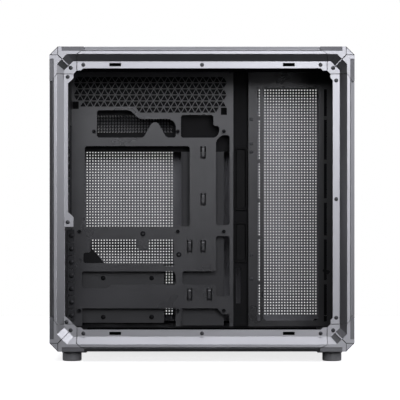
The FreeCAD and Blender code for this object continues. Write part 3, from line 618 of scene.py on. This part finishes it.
# Frames: extruded aluminium rails, brushed lengthwise and anodised silver grey,
# meeting at cast corner blocks with a satin blasted skin. Edges are broken by tumbling.
# Their grooves and pocket floors are darkened as painted shade.
def make_brush_grain():
    """Long fine streaks of a brushed face, with slow changes of tone along them."""
    tree, entry, leave = value_group("brush_grain", [], ["Streak", "Tone"])
    tree.interface.new_socket("Stretch", in_out="INPUT", socket_type="NodeSocketVector")
    place = object_place(tree)
    stretched = add(tree, "ShaderNodeVectorMath", (place, 0), (entry.outputs["Stretch"], 1),
                    operation="MULTIPLY").outputs[0]
    streak = noise(tree, stretched, scale=1.0, detail=4.0)
    tone = noise(tree, place, scale=6.0, detail=2.0)
    tree.links.new(streak, leave.inputs["Streak"])
    tree.links.new(tone, leave.inputs["Tone"])
    return tree


brush_grain = make_brush_grain()


def brushed_alloy(name, dark, light, smooth, dull, stretch, depth):
    """Bare or anodised aluminium, its grain stretched along the brush strokes."""
    grain_strength = 0.1
    material, tree, shader = blank_material(name)
    grain = add(tree, "ShaderNodeGroup", (stretch, "Stretch"), node_tree=brush_grain)
    tone, streak = grain.outputs["Tone"], grain.outputs["Streak"]
    tint(tree, spread(tree, tone, 0.0, 1.0), dark, light, shader.inputs["Base Color"])
    shader.inputs["Metallic"].default_value = 1.0
    tree.links.new(spread(tree, streak, smooth, dull), shader.inputs["Roughness"])
    raise_grain(tree, shader, streak, grain_strength, depth)
    return material


silver_dark, silver_light = (0.52, 0.52, 0.54), (0.58, 0.58, 0.6)
rail_level = brushed_alloy("rail_alloy_level", silver_dark, silver_light, smooth=0.34, dull=0.4,
                           stretch=(12.0, 1600.0, 1600.0), depth=0.00005)
rail_upright = brushed_alloy("rail_alloy_upright", silver_dark, silver_light, smooth=0.34,
                             dull=0.4, stretch=(1600.0, 1600.0, 12.0), depth=0.00005)
corner_alloy = brushed_alloy("corner_alloy", silver_dark, silver_light, smooth=0.36, dull=0.44,
                             stretch=(1500.0, 1500.0, 1500.0), depth=0.00005)
# Darker, rougher alloy: the blasted texture of the corners' shoulders, and painted shade on the
# floors of the rails' grooves.
shoulder_texture_and_shade = brushed_alloy("shoulder_texture_and_shade", dark=(0.2, 0.2, 0.21), light=(0.28, 0.28, 0.29),
                               smooth=0.42, dull=0.6, stretch=(900.0, 900.0, 900.0),
                               depth=0.0002)
# Near-black alloy on the floors of the facet pockets and mitre grooves: painted shade in these
# recesses.
seam_painted_shade = brushed_alloy("seam_painted_shade", dark=(0.03, 0.03, 0.031), light=(0.05, 0.05, 0.052),
                          smooth=0.5, dull=0.6, stretch=(900.0, 900.0, 900.0), depth=0.0001)
corner_low, corner_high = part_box("left_top_front_corner")
case_side = corner_low[1]


def paint_shade_on_sunk_faces(piece, finishes):
    """Give the level faces at some depths below the lip a darker finish, most of it painted shade
    in the recesses.
    """
    level_limit, depth_slack = 0.9, 0.0001
    for number, (depth, finish) in enumerate(finishes, 1):
        piece.data.materials.append(finish)
        for face in piece.data.polygons:
            sunk = abs(abs(face.center.y) + case_side + depth) < depth_slack
            if sunk and abs(face.normal.y) > level_limit:
                face.material_index = number


edge_break = 0.00035
# The back faces of the ledges take the black coat as painted shade.
ledge_back = 0.0115
# The rails' groove floors at this depth take the darker alloy as painted shade.
rail_shoulder, corner_shoulder = 0.0024, 0.0016
shallow_seam, deep_seam = 0.001, 0.0014
for side in ("left", "right"):
    for where in ("top", "bottom", "front", "rear"):
        alloy = rail_level if where in ("top", "bottom") else rail_upright
        bar = rounded_copy("%s_%s_rail" % (side, where), edge_break, alloy)
        paint_shade_on_sunk_faces(bar, ((rail_shoulder, shoulder_texture_and_shade), (ledge_back, black_steel)))
        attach(bar, "case")
    for where in ("top_front", "top_rear", "bottom_front", "bottom_rear"):
        block = rounded_copy("%s_%s_corner" % (side, where), edge_break, corner_alloy)
        paint_shade_on_sunk_faces(block, ((corner_shoulder, shoulder_texture_and_shade), (shallow_seam, seam_painted_shade),
                            (deep_seam, seam_painted_shade), (ledge_back, black_steel)))
        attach(block, "case")


# Corner facets and mitre ribs: a small triangular plate let into each corner block, and the
# raised seam where its two halves meet across the recess. Cast and blasted like the blocks.
def add_solid(work, first, second):
    """Closed solid between two rings of points."""
    rings = [[work.verts.new(point) for point in ring] for ring in (first, second)]
    faces = [work.faces.new(rings[0]), work.faces.new(list(reversed(rings[1])))]
    for i in range(len(first)):
        j = (i + 1) % len(first)
        faces.append(work.faces.new((rings[0][j], rings[0][i], rings[1][i], rings[1][j])))
    bmesh.ops.recalc_face_normals(work, faces=faces)


frame_half = corner_high[0]
frame_middle = corner_high[2] - frame_half
facet_inset, facet_depth, facet_border, corner_cut = 0.0121, 0.001, 0.0013, 0.0125
facet_leg = frame_half - facet_inset
facet_tip = 2 * frame_half - corner_cut - facet_border - facet_leg
facet = ((facet_leg, facet_leg), (facet_leg, facet_tip), (facet_tip, facet_leg))
facet_rings = [[(x, depth, z) for x, z in facet] for depth in (0.0, facet_depth)]
rib_outer, rib_inner = frame_half - 0.01885, frame_half - 0.02855
rib_top, rib_low, rib_half, rib_foot = 0.0006, 0.0014, 0.0004, 0.001
ledge_depth = 0.009
rib = ((rib_outer, rib_top), (rib_inner, rib_low), (rib_inner, ledge_depth),
       (rib_outer, rib_top + rib_foot))
rib_rings = [[(reach - half, depth, reach + half) for reach, depth in rib]
             for half in (rib_half, -rib_half)]


def corner_ring(side, across, up, ring):
    """Ring of points (x, depth, z), brought to one corner of one frame."""
    return [(across * x, side * (-case_side - depth), frame_middle + up * z)
            for x, depth, z in ring]


trim_mesh = bpy.data.meshes.new("corner_trim")
work = bmesh.new()
for side in (-1, 1):
    for across in (-1, 1):
        for up in (-1, 1):
            for rings in (facet_rings, rib_rings):
                add_solid(work, *[corner_ring(side, across, up, ring) for ring in rings])
work.to_mesh(trim_mesh)
work.free()
trim_mesh.materials.append(corner_alloy)
trim = bpy.data.objects.new("corner_trim", trim_mesh)
bpy.context.collection.objects.link(trim)
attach(trim, "case")


# Frame screws: pan heads of black zinc-plated steel on the ledge of the left frame.
# They clamp the sheets behind it.
ledge_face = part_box("frame_screws")[1][1]
screw_line, screw_end, screw_corner = 0.2019, 0.1784, 0.1973
frame_screw_spots = [(x, side * screw_line)
                     for x in (-screw_end, 0.0, screw_end) for side in (-1, 1)]
frame_screw_spots += [(screw_line, z) for z in (-screw_end, 0.0, screw_end)]
frame_screw_spots += [(x * screw_corner, z * screw_corner) for x in (-1, 1) for z in (-1, 1)]
frame_screw_spots += [(-0.2019, 0.1837), (-0.2019, -0.03475), (-0.2036, -0.1847)]
frame_screw_places = [(x, ledge_face, frame_middle + z) for x, z in frame_screw_spots]
heads = grow("frame_screw_heads", pan_head_screws, frame_screw_places, [],
             {"Turn": facing_left, "Head radius": 0.003, "Head height": 0.0016}, black_zinc)
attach(heads, "case")
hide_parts("frame_screws")


# Grub screws: two of black zinc-plated steel in the outer band of each front rail, beside the
# corner blocks and square to the band's slope. They lock the rail to the castings.
band_tilt = radians(29)
grub_inset, grub_depth, grub_level = 0.0038, 0.0021, 0.1752
for side, name, turn in ((-1, "grub_screws_left", band_tilt),
                         (1, "grub_screws_right", pi - band_tilt)):
    grub_places = [(frame_half - grub_inset, side * (-case_side - grub_depth),
                    frame_middle + up * grub_level) for up in (-1, 1)]
    grubs = grow(name, pan_head_screws, grub_places, [],
                 {"Turn": (radians(90), 0.0, turn), "Head radius": 0.0016, "Head height": 0.0004,
                  "Recess length": 0.0018, "Recess width": 0.0006, "Recess depth": 0.0003},
                 black_zinc)
    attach(grubs, "case")


# Cross rails and front cover: aluminium, brushed from side to side and anodised dark grey.
# The four rails tie the two frames together, and the cover closes the front between them.
cover_alloy = brushed_alloy("cover_alloy", dark=(0.2, 0.2, 0.21), light=(0.25, 0.25, 0.26),
                            smooth=0.32, dull=0.45, stretch=(1600.0, 12.0, 1600.0),
                            depth=0.00005)
for where in ("top_front", "top_rear", "bottom_front", "bottom_rear"):
    bar = rounded_copy(where + "_cross_rail", edge_break, cover_alloy)
    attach(bar, "case")
front_plate = rounded_copy("front_cover", edge_break, cover_alloy)
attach(front_plate, "case")


# Top cover and floor filter: thin steel sheets, punched all over with small square holes and
# coated black. They lie between the frames, one above the ceiling and one below the floor, and
# the cover leaves an opening for the control strip.
strip_low, strip_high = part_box("control_strip")
strip_edge = 0.0037
strip_opening = box_loop(strip_low[0] + strip_edge, strip_low[1] + strip_edge,
                         strip_high[0] - strip_edge, strip_high[1] - strip_edge)
for node, openings, rows, field_y in (("top_cover", [strip_opening], 23, -0.0225),
                                      ("floor_filter", [], 29, 0.0)):
    low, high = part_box(node)
    outline = closed_edges(box_loop(low[0], low[1], high[0], high[1]), *openings)
    cover = grow(node + "_punched", perforated_sheet, *outline,
                 {"Pitch": 0.0066, "Hole": 0.0041, "Sheet": high[2] - low[2], "Rows": rows,
                  "First columns": 58, "First centre": (0.0, field_y, 0.0)}, black_steel)
    cover.data.transform(Matrix.Translation((0, 0, low[2])))
    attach(cover, "case")
    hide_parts(node)


# Control strip and power button: moulded black plastic, matte, with softened edges.
# The strip is set into the top cover, and the button slides in a well of the strip.
black_plastic = moulded("black_plastic", dark=(0.014, 0.014, 0.015), light=(0.022, 0.022, 0.024),
                        smooth=0.42, dull=0.58, scale=1100.0, depth=0.00025)
strip = rounded_copy("control_strip", radius=0.0004, material=black_plastic)
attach(strip, "case")
button = rounded_copy("power_button", radius=0.0009, material=black_plastic, segments=3)
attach(button, "power_button")


# Feet: four of moulded rubber, round with a softened tread, in a pale grey that is partly the
# rubber's tone and partly painted light bounced up from the floor. Each hangs on a thin plate
# under the frame.
foot_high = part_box("feet")[1]
foot_radius = 0.0145
foot_x, foot_y, foot_top = foot_high[0] - foot_radius, foot_high[1] - foot_radius, foot_high[2]
plate_thickness, plate_inner = 0.0026, 0.008
foot_profile = ((0.0, 0.0), (0.0123, 0.0), (0.0134, 0.0003), (0.0141, 0.001), (0.0144, 0.0019),
                (0.0145, 0.003), (0.0145, 0.0116), (0.0137, 0.0121), (0.0137, 0.0129),
                (0.0, 0.0129))
around = 48


def profile_ring(work, centre, radius, height):
    """Ring of a turned profile, or one point where it meets the axis."""
    if radius == 0.0:
        return [work.verts.new(centre + Vector((0, 0, height)))]
    angles = [2 * pi * i / around for i in range(around)]
    return [work.verts.new(centre + Vector((radius * cos(angle), radius * sin(angle), height)))
            for angle in angles]


foot_mesh = bpy.data.meshes.new("feet_moulded")
work = bmesh.new()
for side_x in (-1, 1):
    for side_y in (-1, 1):
        centre = Vector((side_x * foot_x, side_y * foot_y, 0.0))
        rings = [profile_ring(work, centre, radius, height) for radius, height in foot_profile]
        for lower, upper in zip(rings, rings[1:]):
            for i in range(around):
                j = (i + 1) % around
                if len(lower) == 1:
                    work.faces.new((lower[0], upper[j], upper[i]))
                elif len(upper) == 1:
                    work.faces.new((lower[i], lower[j], upper[0]))
                else:
                    work.faces.new((lower[i], lower[j], upper[j], upper[i]))
        inner = side_x * (foot_x - foot_radius - plate_inner)
        outer = side_x * (foot_x + foot_radius)
        plate = bmesh.ops.create_cube(work, size=1.0)["verts"]
        plate_size = (abs(outer - inner), 2 * foot_radius, plate_thickness)
        plate_place = ((inner + outer) / 2, side_y * foot_y, foot_top - plate_thickness / 2)
        bmesh.ops.scale(work, vec=plate_size, verts=plate)
        bmesh.ops.translate(work, vec=plate_place, verts=plate)
bmesh.ops.recalc_face_normals(work, faces=work.faces)
work.to_mesh(foot_mesh)
work.free()
# Pale base colour: partly the rubber's own grey, partly painted bounce light from the floor.
foot_rubber = moulded("foot_rubber", dark=(0.31, 0.31, 0.318), light=(0.37, 0.37, 0.38),
                      smooth=0.34, dull=0.46, scale=1400.0, depth=0.0002)
foot_mesh.materials.append(foot_rubber)
foot_mesh.shade_smooth()
feet = bpy.data.objects.new("feet_moulded", foot_mesh)
bpy.context.collection.objects.link(feet)
edge = feet.modifiers.new("edge", "BEVEL")
edge.width = 0.0004
edge.segments = 2
edge.limit_method = "ANGLE"
edge.angle_limit = radians(40)
edge.harden_normals = True
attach(feet, "case")
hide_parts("feet")


# Studio: a white paper floor that runs up into a backdrop. Soft lights above, at the right and
# in front give the photo's light; the others stand behind and at the rear, for views from there.
def stage_material(name, paper, brightness):
    """White paper that glows for the camera alone and stays dark in reflections."""
    hidden_paper = 0.06
    material, tree, shader = blank_material(name)
    seen = tree.nodes.new("ShaderNodeLightPath").outputs["Is Camera Ray"]
    tint(tree, seen, [hidden_paper] * 3, [paper] * 3, shader.inputs["Base Color"])
    shader.inputs["Roughness"].default_value = 0.95
    shader.inputs["Specular IOR Level"].default_value = 0.0
    shader.inputs["Emission Color"].default_value = (1.0, 1.0, 1.0, 1.0)
    tree.links.new(calculate(tree, "MULTIPLY", seen, brightness),
                   shader.inputs["Emission Strength"])
    return material


sweep = ((-9.0, 0.0), (1.2, 0.0), (5.2, 0.0), (5.9, 0.12), (6.3, 0.5), (6.4, 1.2), (6.4, 9.0))
sweep_half_width = 9.0
sweep_points = [(x, y, z) for y, z in sweep for x in (-sweep_half_width, sweep_half_width)]
sweep_faces = [(2 * i, 2 * i + 1, 2 * i + 3, 2 * i + 2) for i in range(len(sweep) - 1)]
sweep_mesh = bpy.data.meshes.new("studio_sweep")
sweep_mesh.from_pydata(sweep_points, [], sweep_faces)
sweep_mesh.materials.append(stage_material("studio_floor", paper=0.85, brightness=0.78))
sweep_mesh.materials.append(stage_material("studio_wall", paper=0.0, brightness=1.0))
for face in sweep_mesh.polygons:
    face.material_index = 0 if face.index == 0 else 1
backdrop = bpy.data.objects.new("studio_sweep", sweep_mesh)
bpy.context.collection.objects.link(backdrop)

cool_white = (0.96, 0.965, 1.02)
for name, place, target, width, height, brightness in (
        ("overhead", (0.2, 0.0, 2.2), (0.2, 0.0, 0.0), 2.8, 1.5, 2.1),
        ("right_side", (2.2, -1.0, 0.95), (0.0, -1.0, 0.95), 2.0, 1.6, 0.75),
        ("upper_right", (1.9, -1.45, 2.1), (-0.2, -0.14, 0.05), 0.9, 0.9, 5.4),
        ("front_key", (0.25, -3.9, 1.5), (0.25, 0.0, 1.3), 2.0, 1.6, 3.65),
        ("front_right", (1.15, -3.6, 0.6), (0.15, 0.0, 0.3), 0.8, 1.0, 2.9),
        ("rear_key", (-3.9, 0.6, 1.2), (0.0, 0.3, 1.1), 1.8, 1.5, 2.4),
        ("behind_key", (0.0, 4.0, 1.3), (0.0, 0.0, 1.0), 2.4, 1.6, 1.6),
        ("behind_left", (-2.3, 2.0, 1.3), (0.0, 0.0, 0.25), 1.6, 1.6, 1.6),
        ("behind_right", (2.3, 2.0, 1.3), (0.0, 0.0, 0.25), 1.6, 1.6, 1.6)):
    light = bpy.data.lights.new(name, "AREA")
    light.shape = "RECTANGLE"
    light.size = width
    light.size_y = height
    light.energy = pi * width * height * brightness
    light.color = cool_white
    lamp = bpy.data.objects.new(name, light)
    bpy.context.collection.objects.link(lamp)
    lamp.location = place
    lamp.rotation_euler = (Vector(target) - Vector(place)).to_track_quat("-Z", "Y").to_euler()

world = bpy.data.worlds.new("studio_air")
world.use_nodes = True
world.node_tree.nodes["Background"].inputs["Color"].default_value = (0.8, 0.8, 0.84, 1.0)
world.node_tree.nodes["Background"].inputs["Strength"].default_value = 0.05
bpy.context.scene.world = world
bpy.context.scene.view_settings.view_transform = "Standard"


# Camera: a long lens on a stand, level with the middle of the case and square to its open side,
# so that the frame's edges stay parallel and little of the depth shows.
lens = bpy.data.cameras.new("photo_camera")
lens.lens = 213.0
lens.sensor_width = 36.0
camera = bpy.data.objects.new("photo_camera", lens)
bpy.context.collection.objects.link(camera)
camera.location = (-0.003, -3.6925, 0.2431)
camera.rotation_euler = (radians(90), 0.0, 0.0)
bpy.context.scene.camera = camera
